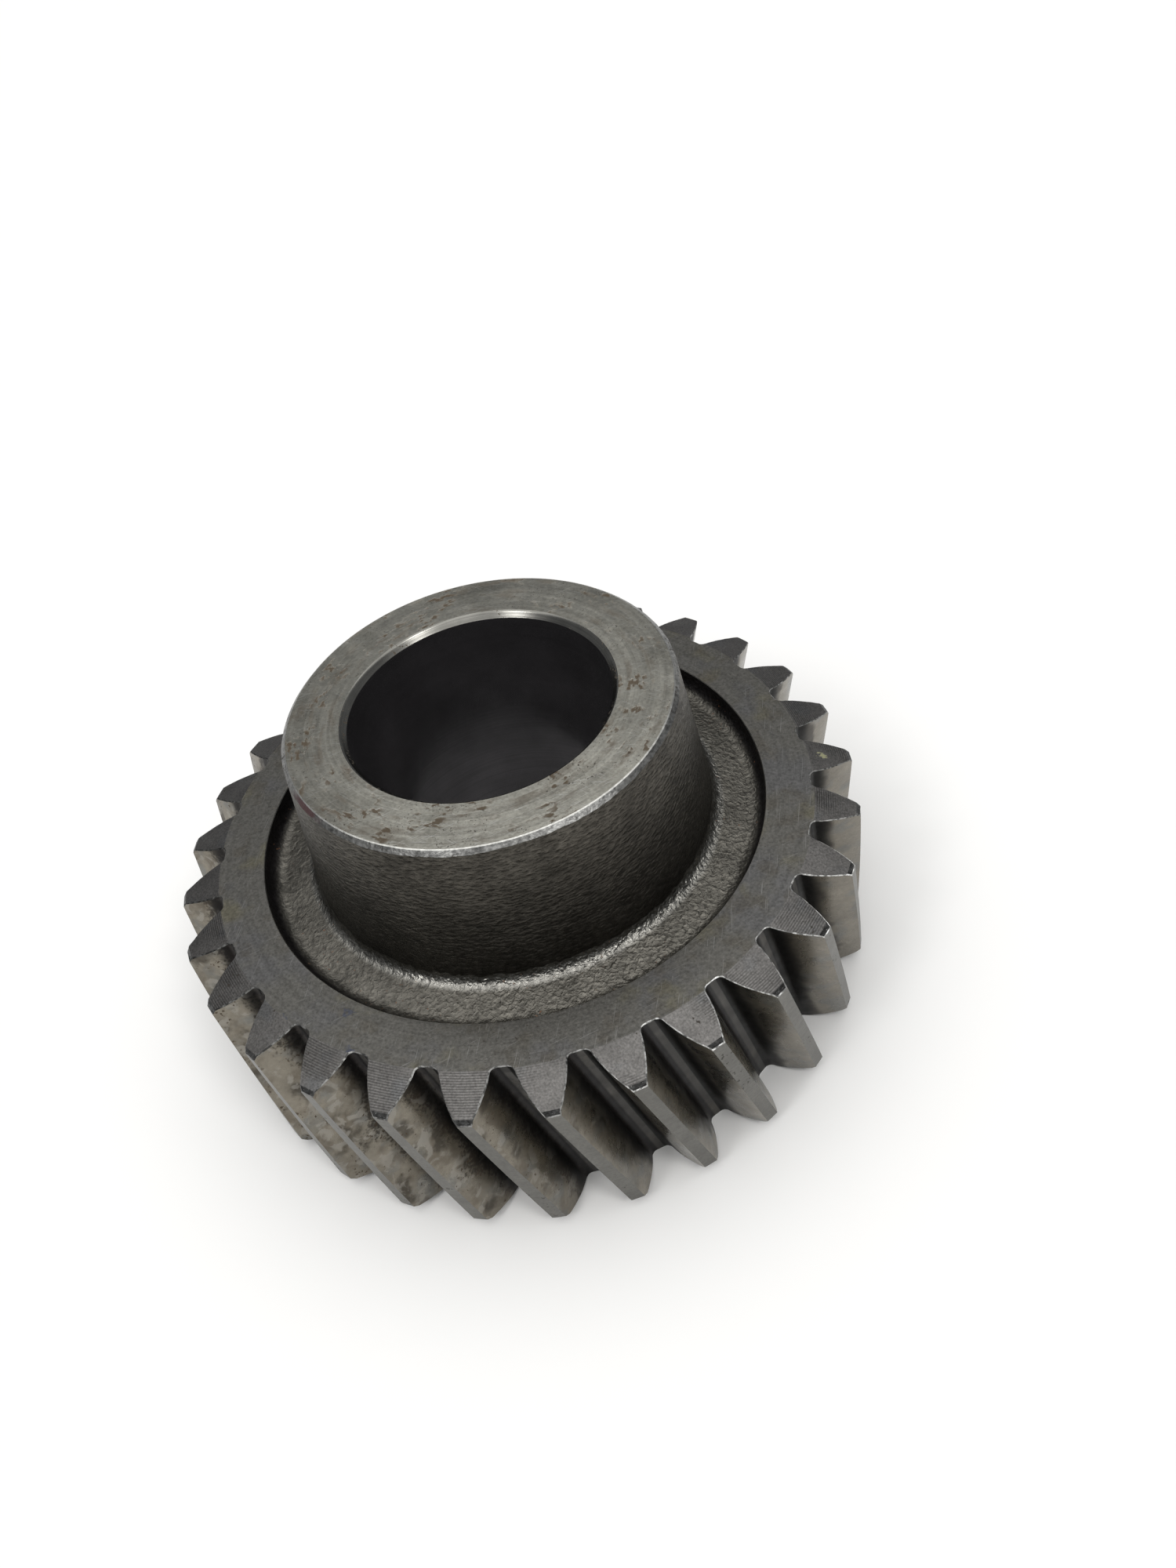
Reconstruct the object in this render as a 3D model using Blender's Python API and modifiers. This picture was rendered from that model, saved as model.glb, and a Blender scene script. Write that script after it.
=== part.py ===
"""Left-hand helical gear with a long plain-bored boss, machined all over its rim from one forging.

Metres, +Z up. The gear lies on its back face with its bore along +Z, and the boss points up. The
origin is where the axis meets the back face. One tooth is centred on +X at the back face.
"""

import math

import bmesh
import bpy

MM = 0.001

# Toothing. The helix angle is at the pitch circle and the pressure angle is in the normal plane.
TEETH = 29
NORMAL_MODULE = 5.0 * MM
PRESSURE_ANGLE = math.radians(22.5)
HELIX_ANGLE = math.radians(14.0)
TIP_RADIUS = 80.0 * MM
ROOT_RADIUS = 69.5 * MM
ROOT_FILLET = 1.6 * MM

# Turned faces and the bore.
FACE_WIDTH = 48.0 * MM
OVERALL_LENGTH = 82.0 * MM
BORE_RADIUS = 29.25 * MM
BORE_CHAMFER = 1.2 * MM
BOSS_TOP_RADIUS = 42.5 * MM
BOSS_CHAMFER = 1.0 * MM
TIP_CHAMFER = 0.9 * MM
BEVEL_START_RADIUS = 70.2 * MM  # the tooth ends slope away from the rim face outside this
BEVEL_DROP = 2.5 * MM

# Surfaces left as forged: the boss wall and an annular recess in each face.
RECESS_RADIUS = 59.3 * MM
RECESS_DEPTH = 5.0 * MM  # at the rim; the floor rises towards the boss
RECESS_DEPTH_AT_BOSS = 2.9 * MM
RECESS_DRAFT = math.radians(12.0)
RECESS_FILLET = 3.2 * MM
BOSS_BASE_RADIUS = 47.0 * MM  # at the level of the rim face
BACK_BOSS_RADIUS = 46.5 * MM
BOSS_FILLET = 3.0 * MM

# How finely curves are divided.
TURNED_STEPS = 3 * TEETH
FLANK_POINTS = 4
FILLET_STEPS = 2
BOSS_FILLET_STEPS = 4
RECESS_FILLET_STEPS = 2
HELIX_SLICES = 3
SHARP_ANGLE = math.radians(20.0)  # sharper edges than this aren't shaded smooth
CUTTER_MARGIN = 2.0 * MM

# What follows from the toothing.
TRANSVERSE_PRESSURE = math.atan(math.tan(PRESSURE_ANGLE) / math.cos(HELIX_ANGLE))
PITCH_RADIUS = TEETH * NORMAL_MODULE / (2 * math.cos(HELIX_ANGLE))
BASE_RADIUS = PITCH_RADIUS * math.cos(TRANSVERSE_PRESSURE)
TWIST_PER_METRE = -math.tan(HELIX_ANGLE) / PITCH_RADIUS  # negative: a left-hand helix


def involute(angle):
    return math.tan(angle) - angle


def tooth_half_angle(radius):
    """Half of the angle that a tooth takes up at this radius, between its two involute flanks."""
    at_base = math.pi / (2 * TEETH) + involute(TRANSVERSE_PRESSURE)
    return at_base - involute(math.acos(BASE_RADIUS / radius))


def root_fillet():
    """Points (x, y) of the arc from a flank to the root circle, beside a tooth centred on +X.

    A curve parallel to an involute is the same involute turned on its base circle, which places
    the arc's centre.
    """
    centre_radius = ROOT_RADIUS + ROOT_FILLET
    centre_angle = tooth_half_angle(centre_radius) + ROOT_FILLET / BASE_RADIUS
    centre = (centre_radius * math.cos(centre_angle), centre_radius * math.sin(centre_angle))
    to_flank = centre_angle - math.acos(BASE_RADIUS / centre_radius) - math.pi / 2
    to_root = centre_angle - math.pi
    points = []
    for step in range(FILLET_STEPS + 1):
        angle = to_flank + (to_root - to_flank) * step / FILLET_STEPS
        x = centre[0] + ROOT_FILLET * math.cos(angle)
        y = centre[1] + ROOT_FILLET * math.sin(angle)
        points.append((x, y))
    return points


def tooth_side(outer_radius):
    """Polar points (radius, angle) down one side of a tooth, from outer_radius to the root."""
    fillet = [(math.hypot(x, y), math.atan2(y, x)) for x, y in root_fillet()]
    flank_end = fillet[0][0]
    flank = []
    for step in range(FLANK_POINTS):
        radius = outer_radius + (flank_end - outer_radius) * step / FLANK_POINTS
        flank.append((radius, tooth_half_angle(radius)))
    return flank + fillet


def gear_outline(outer_radius):
    """Polar points of all the teeth, anticlockwise."""
    side = tooth_side(outer_radius)
    tooth = [(radius, -angle) for radius, angle in reversed(side)] + side
    pitch = 2 * math.pi / TEETH
    return [(radius, angle + pitch * i) for i in range(TEETH) for radius, angle in tooth]


def rounded(before, corner, after, radius, steps):
    """Points of the arc that rounds the corner of a profile, from one leg to the other."""
    legs = []
    for end in (before, after):
        length = math.dist(corner, end)
        legs.append(((end[0] - corner[0]) / length, (end[1] - corner[1]) / length))
    half = math.acos(legs[0][0] * legs[1][0] + legs[0][1] * legs[1][1]) / 2
    middle = (legs[0][0] + legs[1][0], legs[0][1] + legs[1][1])
    reach = radius / math.sin(half) / math.hypot(*middle)
    centre = (corner[0] + middle[0] * reach, corner[1] + middle[1] * reach)
    tangent = radius / math.tan(half)
    ends = []
    for leg in legs:
        x = corner[0] + leg[0] * tangent - centre[0]
        z = corner[1] + leg[1] * tangent - centre[1]
        ends.append(math.atan2(z, x))
    sweep = (ends[1] - ends[0] + math.pi) % (2 * math.pi) - math.pi
    points = []
    for step in range(steps + 1):
        angle = ends[0] + sweep * step / steps
        points.append((centre[0] + radius * math.cos(angle), centre[1] + radius * math.sin(angle)))
    return points


def recess(boss_edge, boss_slope):
    """Recess profile below a rim face at z = 0, from the boss's wall out to the rim's edge.

    boss_edge is the boss's radius at the rim face, and boss_slope is how much it grows per metre
    of depth.
    """
    top = (boss_edge, 0.0)
    boss_corner = (boss_edge + boss_slope * RECESS_DEPTH_AT_BOSS, -RECESS_DEPTH_AT_BOSS)
    rim_corner = (RECESS_RADIUS - RECESS_DEPTH * math.tan(RECESS_DRAFT), -RECESS_DEPTH)
    edge = (RECESS_RADIUS, 0.0)
    points = rounded(top, boss_corner, rim_corner, BOSS_FILLET, BOSS_FILLET_STEPS)
    points += rounded(boss_corner, rim_corner, edge, RECESS_FILLET, RECESS_FILLET_STEPS)
    return points + [edge]


def rim_face():
    """Rim profile beside a face at z = 0, from the flat face out to the tip cylinder."""
    return [
        (BEVEL_START_RADIUS, 0.0),
        (TIP_RADIUS - TIP_CHAMFER, -BEVEL_DROP),
        (TIP_RADIUS, -BEVEL_DROP - TIP_CHAMFER),
    ]


def blank_profile():
    """Outline (radius, z) of the turned blank, from the bore's top mouth round to its bottom mouth."""
    wall_height = OVERALL_LENGTH - BOSS_CHAMFER - FACE_WIDTH
    boss_slope = (BOSS_BASE_RADIUS - BOSS_TOP_RADIUS - BOSS_CHAMFER) / wall_height
    boss_end = [
        (BORE_RADIUS, OVERALL_LENGTH - BORE_CHAMFER),
        (BORE_RADIUS + BORE_CHAMFER, OVERALL_LENGTH),
        (BOSS_TOP_RADIUS, OVERALL_LENGTH),
        (BOSS_TOP_RADIUS + BOSS_CHAMFER, OVERALL_LENGTH - BOSS_CHAMFER),
    ]
    front = recess(BOSS_BASE_RADIUS, boss_slope) + rim_face()
    back_edge = [(BACK_BOSS_RADIUS, 0.0)]
    back = back_edge + recess(BACK_BOSS_RADIUS, boss_slope) + rim_face()
    bore_end = [(BORE_RADIUS + BORE_CHAMFER, 0.0), (BORE_RADIUS, BORE_CHAMFER)]
    profile = boss_end
    profile += [(radius, FACE_WIDTH + z) for radius, z in front]
    profile += [(radius, -z) for radius, z in reversed(back)]
    return profile + bore_end


def link_object(name, mesh, collection):
    obj = bpy.data.objects.new(name, mesh)
    collection.objects.link(obj)
    return obj


def turned_blank(name, collection):
    """The blank as a profile in the XZ plane, turned about Z by a Screw modifier."""
    points = [(radius, 0.0, z) for radius, z in blank_profile()]
    edges = [(i, (i + 1) % len(points)) for i in range(len(points))]
    mesh = bpy.data.meshes.new(name)
    mesh.from_pydata(points, edges, [])
    obj = link_object(name, mesh, collection)
    screw = obj.modifiers.new("Turn", "SCREW")
    screw.axis = "Z"
    screw.angle = 2 * math.pi
    screw.steps = TURNED_STEPS
    screw.render_steps = TURNED_STEPS
    screw.use_merge_vertices = True
    screw.merge_threshold = 0.00001
    return obj


def tooth_space_cutter(collection):
    """A ring round the blank whose inside is the toothed outline, twisted along its height."""
    outline = gear_outline(TIP_RADIUS + CUTTER_MARGIN)
    outer_radius = TIP_RADIUS + 2 * CUTTER_MARGIN
    count = len(outline)
    height = FACE_WIDTH + 2 * CUTTER_MARGIN
    cutter = bmesh.new()
    inner_rings = []
    outer_rings = []
    for level in range(HELIX_SLICES + 1):
        z = height * level / HELIX_SLICES - CUTTER_MARGIN
        turn = TWIST_PER_METRE * z
        inner = []
        outer = []
        for i, (radius, angle) in enumerate(outline):
            inner_angle = angle + turn
            outer_angle = 2 * math.pi * (i - 0.5 * (count / TEETH - 1)) / count + turn
            x, y = math.cos(inner_angle), math.sin(inner_angle)
            inner.append(cutter.verts.new((radius * x, radius * y, z)))
            x, y = math.cos(outer_angle), math.sin(outer_angle)
            outer.append(cutter.verts.new((outer_radius * x, outer_radius * y, z)))
        inner_rings.append(inner)
        outer_rings.append(outer)
    for i in range(count):
        j = (i + 1) % count
        for level in range(HELIX_SLICES):
            low, high = inner_rings[level], inner_rings[level + 1]
            cutter.faces.new((low[j], low[i], high[i], high[j]))
            low, high = outer_rings[level], outer_rings[level + 1]
            cutter.faces.new((low[i], low[j], high[j], high[i]))
        inner, outer = inner_rings[0], outer_rings[0]
        cutter.faces.new((inner[i], inner[j], outer[j], outer[i]))
        inner, outer = inner_rings[-1], outer_rings[-1]
        cutter.faces.new((inner[j], inner[i], outer[i], outer[j]))
    mesh = bpy.data.meshes.new("tooth_space_cutter")
    cutter.to_mesh(mesh)
    cutter.free()
    obj = link_object("tooth_space_cutter", mesh, collection)
    obj.hide_render = True
    obj.display_type = "WIRE"
    return obj


def gear_steel():
    """Bare case-hardened steel, darkened by oil and handling."""
    material = bpy.data.materials.new("gear_steel")
    material.use_nodes = True
    shader = material.node_tree.nodes["Principled BSDF"]
    shader.inputs["Base Color"].default_value = (0.17, 0.165, 0.155, 1.0)
    shader.inputs["Metallic"].default_value = 1.0
    shader.inputs["Roughness"].default_value = 0.45
    return material


def shade_by_angle(obj):
    """Applies the object's modifiers, then shades it smooth between its sharp edges."""
    evaluated = obj.evaluated_get(bpy.context.evaluated_depsgraph_get())
    mesh = bpy.data.meshes.new_from_object(evaluated)
    obj.modifiers.clear()
    obj.data = mesh
    mesh.shade_smooth()
    mesh.set_sharp_from_angle(angle=SHARP_ANGLE)


def helical_gear(collection, cutters):
    gear = turned_blank("helical_gear", collection)
    cut = gear.modifiers.new("Tooth spaces", "BOOLEAN")
    cut.operation = "DIFFERENCE"
    cut.solver = "EXACT"
    cut.object = tooth_space_cutter(cutters)
    gear.data.materials.append(gear_steel())
    shade_by_angle(gear)
    gear.data.name = gear.name
    return gear


def new_collection(name):
    collection = bpy.data.collections.new(name)
    bpy.context.scene.collection.children.link(collection)
    return collection


def main():
    for obj in list(bpy.data.objects):
        bpy.data.objects.remove(obj, do_unlink=True)
    helical_gear(new_collection("Helical gear"), new_collection("Cutters"))


main()
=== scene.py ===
"""The looks of a helical gear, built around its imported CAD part.

The gear is one closed mesh: a turned profile carried round in columns, the teeth's sides swept up
a helix, and the tooth ends between them. Lengths here are millimetres, and the mesh is scaled to
metres at the end.
"""

import math

import bpy
import numpy as np
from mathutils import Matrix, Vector, noise


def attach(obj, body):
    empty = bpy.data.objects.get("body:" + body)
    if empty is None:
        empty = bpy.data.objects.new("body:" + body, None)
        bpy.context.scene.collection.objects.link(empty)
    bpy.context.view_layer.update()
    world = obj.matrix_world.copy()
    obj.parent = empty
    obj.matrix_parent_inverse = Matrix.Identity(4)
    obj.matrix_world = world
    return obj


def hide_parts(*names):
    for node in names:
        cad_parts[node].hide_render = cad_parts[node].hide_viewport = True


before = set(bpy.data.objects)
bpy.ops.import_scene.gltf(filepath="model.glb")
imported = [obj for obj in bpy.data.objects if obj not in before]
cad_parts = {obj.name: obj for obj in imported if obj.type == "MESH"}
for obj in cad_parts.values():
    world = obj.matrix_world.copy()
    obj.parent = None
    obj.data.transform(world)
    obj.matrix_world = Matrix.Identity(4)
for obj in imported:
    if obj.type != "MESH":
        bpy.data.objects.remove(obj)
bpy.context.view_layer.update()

# The gear's dimensions, as in the CAD part.
TEETH = 29
MODULE = 5.0
PRESSURE_ANGLE = math.radians(22.5)
HELIX_ANGLE = math.radians(14.0)
TIP_RADIUS = 80.0
ROOT_RADIUS = 69.5
ROOT_FILLET = 1.6
FACE_WIDTH = 48.0
LENGTH = 82.0
BORE_RADIUS = 29.25
BORE_CHAMFER = 1.2
BOSS_TOP_RADIUS = 42.5
BOSS_CHAMFER = 1.0
TIP_CHAMFER = 0.9
BEVEL_RADIUS = 70.2
BEVEL_DROP = 2.5
RECESS_RADIUS = 59.3
RECESS_DEPTH = 5.0
RECESS_DEPTH_AT_BOSS = 2.9
RECESS_DRAFT = math.radians(12.0)
RECESS_FILLET = 3.2
BOSS_BASE_RADIUS = 47.0
BACK_BOSS_RADIUS = 46.5
BOSS_FILLET = 3.0

PITCH = 2 * math.pi / TEETH
TRANSVERSE = math.atan(math.tan(PRESSURE_ANGLE) / math.cos(HELIX_ANGLE))
PITCH_RADIUS = TEETH * MODULE / (2 * math.cos(HELIX_ANGLE))
BASE_RADIUS = PITCH_RADIUS * math.cos(TRANSVERSE)
TWIST = -math.tan(HELIX_ANGLE) / PITCH_RADIUS  # radians per millimetre

# Worn and deburred edges.
EDGE = 0.2  # width of the small bevels that stand for worn edges
EDGE_TILT = 0.7 * EDGE  # how far a bevel across a slanted edge reaches each way
EDGE_DRAFT = 0.04  # how far the recess's slanted wall comes in over the height of one bevel
DEBURR_WIDTH = 0.21
DEBURR_RAGGED = 0.13
DEBURR_DRIFT = 0.04

# The uneven skin left by forging, as layers of height, size and noise seed.
SKIN_LAYERS = ((0.10, 13.0, 1.0), (0.03, 3.6, 2.0), (0.06, 1.3, 4.0))
SKIN_FADE = 2.0  # the skin goes flat over this distance before the recess's edge
BACK_SKIN_FADE = 1.5  # and over this one before the back boss's edge
CHAMFER_SLIDE = 1.6  # how much more the skin's edge moves where it slides along the chamfer

# How finely the mesh is divided.
ACROSS_TOOTH = 16
ACROSS_ROOT = 4
BELOW_BEVEL = 6  # points of a tooth's side from the root circle to where the end starts to slope
IN_FILLET = 4
ON_FLANK = 18
HEIGHT_SHARES = np.concatenate([[0, 0.01], np.linspace(0.04, 0.96, 17), [0.99, 1]])
FORGED_STEP = 0.45
FACE_STEP = 1.2
BACK_STEP = 2.0
EDGE_STEP = 1.0
CHAMFER_STEP = 0.4
BORE_STEP = 4.0

MATERIALS = (
    "forged",
    "rim_face",
    "tooth_end",
    "tip_chamfer",
    "deburred",
    "flank",
    "tip_land",
    "boss_face",
    "boss_chamfer",
    "bore_mouth",
    "bore",
    "worn_edge",
)


# ---------------------------------------------------------------- the toothing


def involute(angle):
    return math.tan(angle) - angle


def flank_half_angle(radius):
    at_base = math.pi / (2 * TEETH) + involute(TRANSVERSE)
    return at_base - involute(math.acos(BASE_RADIUS / radius))


FILLET_CENTRE = ROOT_RADIUS + ROOT_FILLET
FILLET_ANGLE = flank_half_angle(FILLET_CENTRE) + ROOT_FILLET / BASE_RADIUS
FLANK_START = math.hypot(BASE_RADIUS, math.sqrt(FILLET_CENTRE**2 - BASE_RADIUS**2) - ROOT_FILLET)


def half_angle(radius, fillet=ROOT_FILLET):
    """Half of the angle that a tooth takes up at this radius, with its root fillet."""
    if radius >= FLANK_START:
        return flank_half_angle(radius)
    cosine = (FILLET_CENTRE**2 + radius**2 - fillet**2) / (2 * FILLET_CENTRE * radius)
    return FILLET_ANGLE - math.acos(min(1.0, cosine))


def side_radii():
    """Radii of the points down a tooth's side, from the root circle to the tip."""
    shares = np.linspace(0, 1, BELOW_BEVEL)
    fillet = [ROOT_RADIUS + t * t * (BEVEL_RADIUS - ROOT_RADIUS) for t in shares]
    fillet += list(np.linspace(BEVEL_RADIUS, FLANK_START, IN_FILLET))[1:]
    flank = list(np.linspace(FLANK_START, TIP_RADIUS - TIP_CHAMFER, ON_FLANK))[1:]
    return fillet + flank + [TIP_RADIUS - TIP_CHAMFER / 2, TIP_RADIUS - 0.15, TIP_RADIUS]


SIDE = side_radii()
BEVEL_RUNG = BELOW_BEVEL - 1
CHAMFER_RUNG = SIDE.index(TIP_RADIUS - TIP_CHAMFER)
LAST_RUNG = len(SIDE) - 1


def end_drop(radius):
    """How far a tooth's end lies below the rim face at this radius."""
    slope = BEVEL_DROP / (TIP_RADIUS - TIP_CHAMFER - BEVEL_RADIUS)
    bevel = np.clip(radius - BEVEL_RADIUS, 0, TIP_RADIUS - TIP_CHAMFER - BEVEL_RADIUS) * slope
    return bevel + np.clip(radius - TIP_RADIUS + TIP_CHAMFER, 0, None)


def tooth_outline():
    """Polar points of one tooth and the root after it: radius, angle, and the point that an
    inset of 1 mm moves to, as radius and angle."""
    side = []
    for radius in SIDE:
        angle = half_angle(radius)
        if radius < FLANK_START:
            reach = (ROOT_FILLET + 1) / ROOT_FILLET
            px = radius * math.cos(angle - FILLET_ANGLE) - FILLET_CENTRE
            py = radius * math.sin(angle - FILLET_ANGLE)
            x, y = FILLET_CENTRE + px * reach, py * reach
            inset = (math.hypot(x, y), FILLET_ANGLE + math.atan2(y, x))
        else:
            slant = math.cos(math.acos(BASE_RADIUS / radius))
            inset = (radius, angle - 1 / (radius * slant))
        side.append((radius, angle, *inset))
    radius, angle, _, inner = side[-1]
    side[-1] = (radius, angle, radius - 1, inner)
    land = []
    for i in range(1, ACROSS_TOOTH):
        share = 2 * i / ACROSS_TOOTH - 1
        land.append((TIP_RADIUS, angle * share, TIP_RADIUS - 1, inner * share))
    root = []
    first = side[0]
    for i in range(1, ACROSS_ROOT):
        share = i / ACROSS_ROOT
        theta = first[1] + (PITCH - 2 * first[1]) * share
        root.append((ROOT_RADIUS, theta, ROOT_RADIUS - 1, theta))
    right = [(r, -a, ir, -ia) for r, a, ir, ia in side]
    return np.array(right + land + side[::-1] + root)


# ---------------------------------------------------------------- mesh of grids


class Surface:
    """Points and quads gathered grid by grid. A group's faces are smooth among themselves."""

    def __init__(self):
        self.points = []
        self.count = 0
        self.quads = []
        self.materials = []
        self.groups = []
        self.group = 0

    def add(self, xyz):
        """Adds points of shape (..., 3) and returns their numbers in the shape (...)."""
        xyz = np.asarray(xyz, float)
        flat = xyz.reshape(-1, 3)
        ids = np.arange(self.count, self.count + len(flat)).reshape(xyz.shape[:-1])
        self.points.append(flat)
        self.count += len(flat)
        return ids

    def grid(self, ids, material, closed=False, flip=False, new_group=True):
        if new_group:
            self.group += 1
        if closed:
            ids = np.concatenate([ids, ids[:, :1]], axis=1)
        quads = np.stack([ids[:-1, :-1], ids[:-1, 1:], ids[1:, 1:], ids[1:, :-1]], axis=-1)
        quads = quads.reshape(-1, 4)
        if flip:
            quads = quads[:, ::-1]
        self.quads.append(quads)
        self.materials.append(np.full(len(quads), MATERIALS.index(material)))
        self.groups.append(np.full(len(quads), self.group))


def polar(radius, angle, z):
    radius, angle, z = np.broadcast_arrays(radius, angle, z)
    return np.stack([radius * np.cos(angle), radius * np.sin(angle), z], axis=-1)


def noise_at(points, size, seed=0.0):
    """Smooth noise from about -1 to 1 at each point, with features of this size in millimetres."""
    offset = Vector((seed, seed * 1.7, -seed))
    flat = np.asarray(points, float).reshape(-1, 3) / size
    values = [noise.noise(Vector(p) + offset) for p in flat.tolist()]
    return np.array(values).reshape(np.shape(points)[:-1])


# ---------------------------------------------------------------- the turned profile


def rounded(before, corner, after, radius, step):
    """Points of the arc that rounds the corner of a profile, from one leg to the other."""
    legs = [np.subtract(end, corner) for end in (before, after)]
    legs = [leg / np.linalg.norm(leg) for leg in legs]
    half = math.acos(float(legs[0] @ legs[1])) / 2
    middle = (legs[0] + legs[1]) / np.linalg.norm(legs[0] + legs[1])
    centre = np.array(corner) + middle * radius / math.sin(half)
    tangent = radius / math.tan(half)
    ends = [np.array(corner) + leg * tangent - centre for leg in legs]
    start, end = (math.atan2(p[1], p[0]) for p in ends)
    sweep = (end - start + math.pi) % (2 * math.pi) - math.pi
    count = max(2, math.ceil(abs(sweep) * radius / step))
    angles = start + sweep * np.arange(count + 1) / count
    return [tuple(centre + radius * np.array([math.cos(a), math.sin(a)])) for a in angles]


def recess_corners(boss_edge, slope, step):
    """Recess profile below a rim face at z = 0, from the boss's wall out to the rim's edge."""
    top = (boss_edge, 0.0)
    boss_corner = (boss_edge + slope * RECESS_DEPTH_AT_BOSS, -RECESS_DEPTH_AT_BOSS)
    rim_corner = (RECESS_RADIUS - RECESS_DEPTH * math.tan(RECESS_DRAFT), -RECESS_DEPTH)
    edge = (RECESS_RADIUS, 0.0)
    points = rounded(top, boss_corner, rim_corner, BOSS_FILLET, step)
    return points + rounded(boss_corner, rim_corner, edge, RECESS_FILLET, step)


def divided(corners, step):
    """The points of a polyline with none further apart than step."""
    points = [corners[0]]
    for a, b in zip(corners, corners[1:]):
        count = max(1, math.ceil(math.dist(a, b) / step - 1e-6))
        for i in range(1, count + 1):
            points.append(tuple(np.add(a, np.subtract(b, a) * i / count)))
    return points


def profile():
    """The turned surface as (material, points) runs from the top root circle, over the boss and
    down the bore, to the bottom root circle. The root circles themselves aren't in it."""
    wall = LENGTH - BOSS_CHAMFER - FACE_WIDTH
    slope = (BOSS_BASE_RADIUS - BOSS_TOP_RADIUS - BOSS_CHAMFER) / wall
    top = [(r, FACE_WIDTH + z) for r, z in recess_corners(BOSS_BASE_RADIUS, slope, FORGED_STEP)]
    back = [(r, -z) for r, z in recess_corners(BACK_BOSS_RADIUS, slope, FORGED_STEP)]
    wall_end = (BOSS_TOP_RADIUS + BOSS_CHAMFER, LENGTH - BOSS_CHAMFER)
    bore_top = LENGTH - BORE_CHAMFER
    mouth = BORE_RADIUS + BORE_CHAMFER
    tilt = EDGE_TILT
    rim_edge = (RECESS_RADIUS - EDGE_DRAFT, FACE_WIDTH - EDGE)
    back_rim_edge = (RECESS_RADIUS - EDGE_DRAFT, EDGE)
    corners = [
        ("rim_face", [(RECESS_RADIUS + EDGE / 2, FACE_WIDTH)], FACE_STEP),
        ("worn_edge", [rim_edge], EDGE_STEP),
        ("forged", top[::-1] + [wall_end], FORGED_STEP),
        ("boss_chamfer", [(BOSS_TOP_RADIUS + tilt, LENGTH - tilt)], CHAMFER_STEP),
        ("worn_edge", [(BOSS_TOP_RADIUS - tilt, LENGTH)], EDGE_STEP),
        ("boss_face", [(mouth + tilt, LENGTH)], FACE_STEP),
        ("bore_mouth", [(mouth - tilt, LENGTH - tilt), (BORE_RADIUS, bore_top - tilt)], CHAMFER_STEP),
        ("bore", [(BORE_RADIUS, BORE_CHAMFER)], BORE_STEP),
        ("bore_mouth", [(mouth, 0.0)], CHAMFER_STEP),
        ("boss_face", [(BACK_BOSS_RADIUS - EDGE, 0.0)], BACK_STEP),
        ("worn_edge", [(BACK_BOSS_RADIUS, EDGE)], EDGE_STEP),
        ("forged", back + [back_rim_edge], 2 * FORGED_STEP),
        ("worn_edge", [(RECESS_RADIUS + EDGE / 2, 0.0)], EDGE_STEP),
    ]
    runs = []
    last = (ROOT_RADIUS - 1.0, FACE_WIDTH)
    for material, points, step in corners:
        points = divided([last] + points, step)
        last = points[-1]
        runs.append((material, points))
    return runs


# ---------------------------------------------------------------- the gear's mesh


def tooth_ends(surface, border, border_polar, top):
    """The ends of all teeth at one face. border holds the numbers of the inset outline's points
    as (tooth, point), and border_polar their radii and angles. Returns the ring of numbers along
    the root circle."""
    sides = len(SIDE)
    left_start = sides + ACROSS_TOOTH - 1
    share = np.arange(1, ACROSS_TOOTH) / ACROSS_TOOTH
    z_face = FACE_WIDTH if top else 0.0
    down = -1.0 if top else 1.0
    rings = []
    ladders = []
    for k in range(TEETH):
        rungs = []
        for j in range(sides):
            right, left = j, left_start + sides - 1 - j
            if j == LAST_RUNG:
                inner = border[k, sides : sides + ACROSS_TOOTH - 1]
            else:
                (r0, a0), (r1, a1) = border_polar[k, right], border_polar[k, left]
                radius = r0 + (r1 - r0) * share
                angle = a0 + (a1 - a0) * share
                inner = surface.add(polar(radius, angle, z_face + down * end_drop(radius)))
            rungs.append(np.concatenate([[border[k, right]], inner, [border[k, left]]]))
        ladders.append(np.array(rungs))
        rings.append(np.concatenate([rungs[0], border[k, left_start + sides :]]))
    for material, low, high in (
        ("rim_face", 0, BEVEL_RUNG),
        ("tooth_end", BEVEL_RUNG, CHAMFER_RUNG),
        ("tip_chamfer", CHAMFER_RUNG, LAST_RUNG),
    ):
        surface.group += 1
        for ladder in ladders:
            surface.grid(ladder[low : high + 1], material, flip=top, new_group=False)
    return np.concatenate(rings)


def deburr_width(radius, angle, top):
    """How wide the deburring is along the outline at one face."""
    z = FACE_WIDTH if top else 0.0
    places = polar(radius, angle + TWIST * z, z + 0 * radius)
    ragged = 0.5 * noise_at(places, 2.2, 3.0) + 0.5 * noise_at(places, 0.7, 9.0)
    return DEBURR_WIDTH + DEBURR_RAGGED * ragged + DEBURR_DRIFT * noise_at(places, 14.0, 5.0)


def tooth_sides(surface, radius, angle, low, high):
    """The flanks, roots and lands, swept up the helix from the heights low to high. Returns the
    numbers of their points, a row for each height."""
    rows = []
    for share in HEIGHT_SHARES:
        z = low + (high - low) * share
        rows.append(polar(radius, angle + TWIST * z, z).reshape(-1, 3))
    sides = surface.add(np.array(rows))
    columns = np.arange(radius.size).reshape(TEETH, -1)
    land_start = len(SIDE) - 1
    land_end = land_start + ACROSS_TOOTH
    surface.group += 1
    for k in range(TEETH):
        following = np.append(columns[k], columns[(k + 1) % TEETH, 0])
        surface.grid(sides[:, following[: land_start + 1]], "flank", new_group=False)
        surface.grid(sides[:, following[land_end:]], "flank", new_group=False)
    surface.group += 1
    for k in range(TEETH):
        surface.grid(sides[:, columns[k, land_start : land_end + 1]], "tip_land", new_group=False)
    return sides


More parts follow.
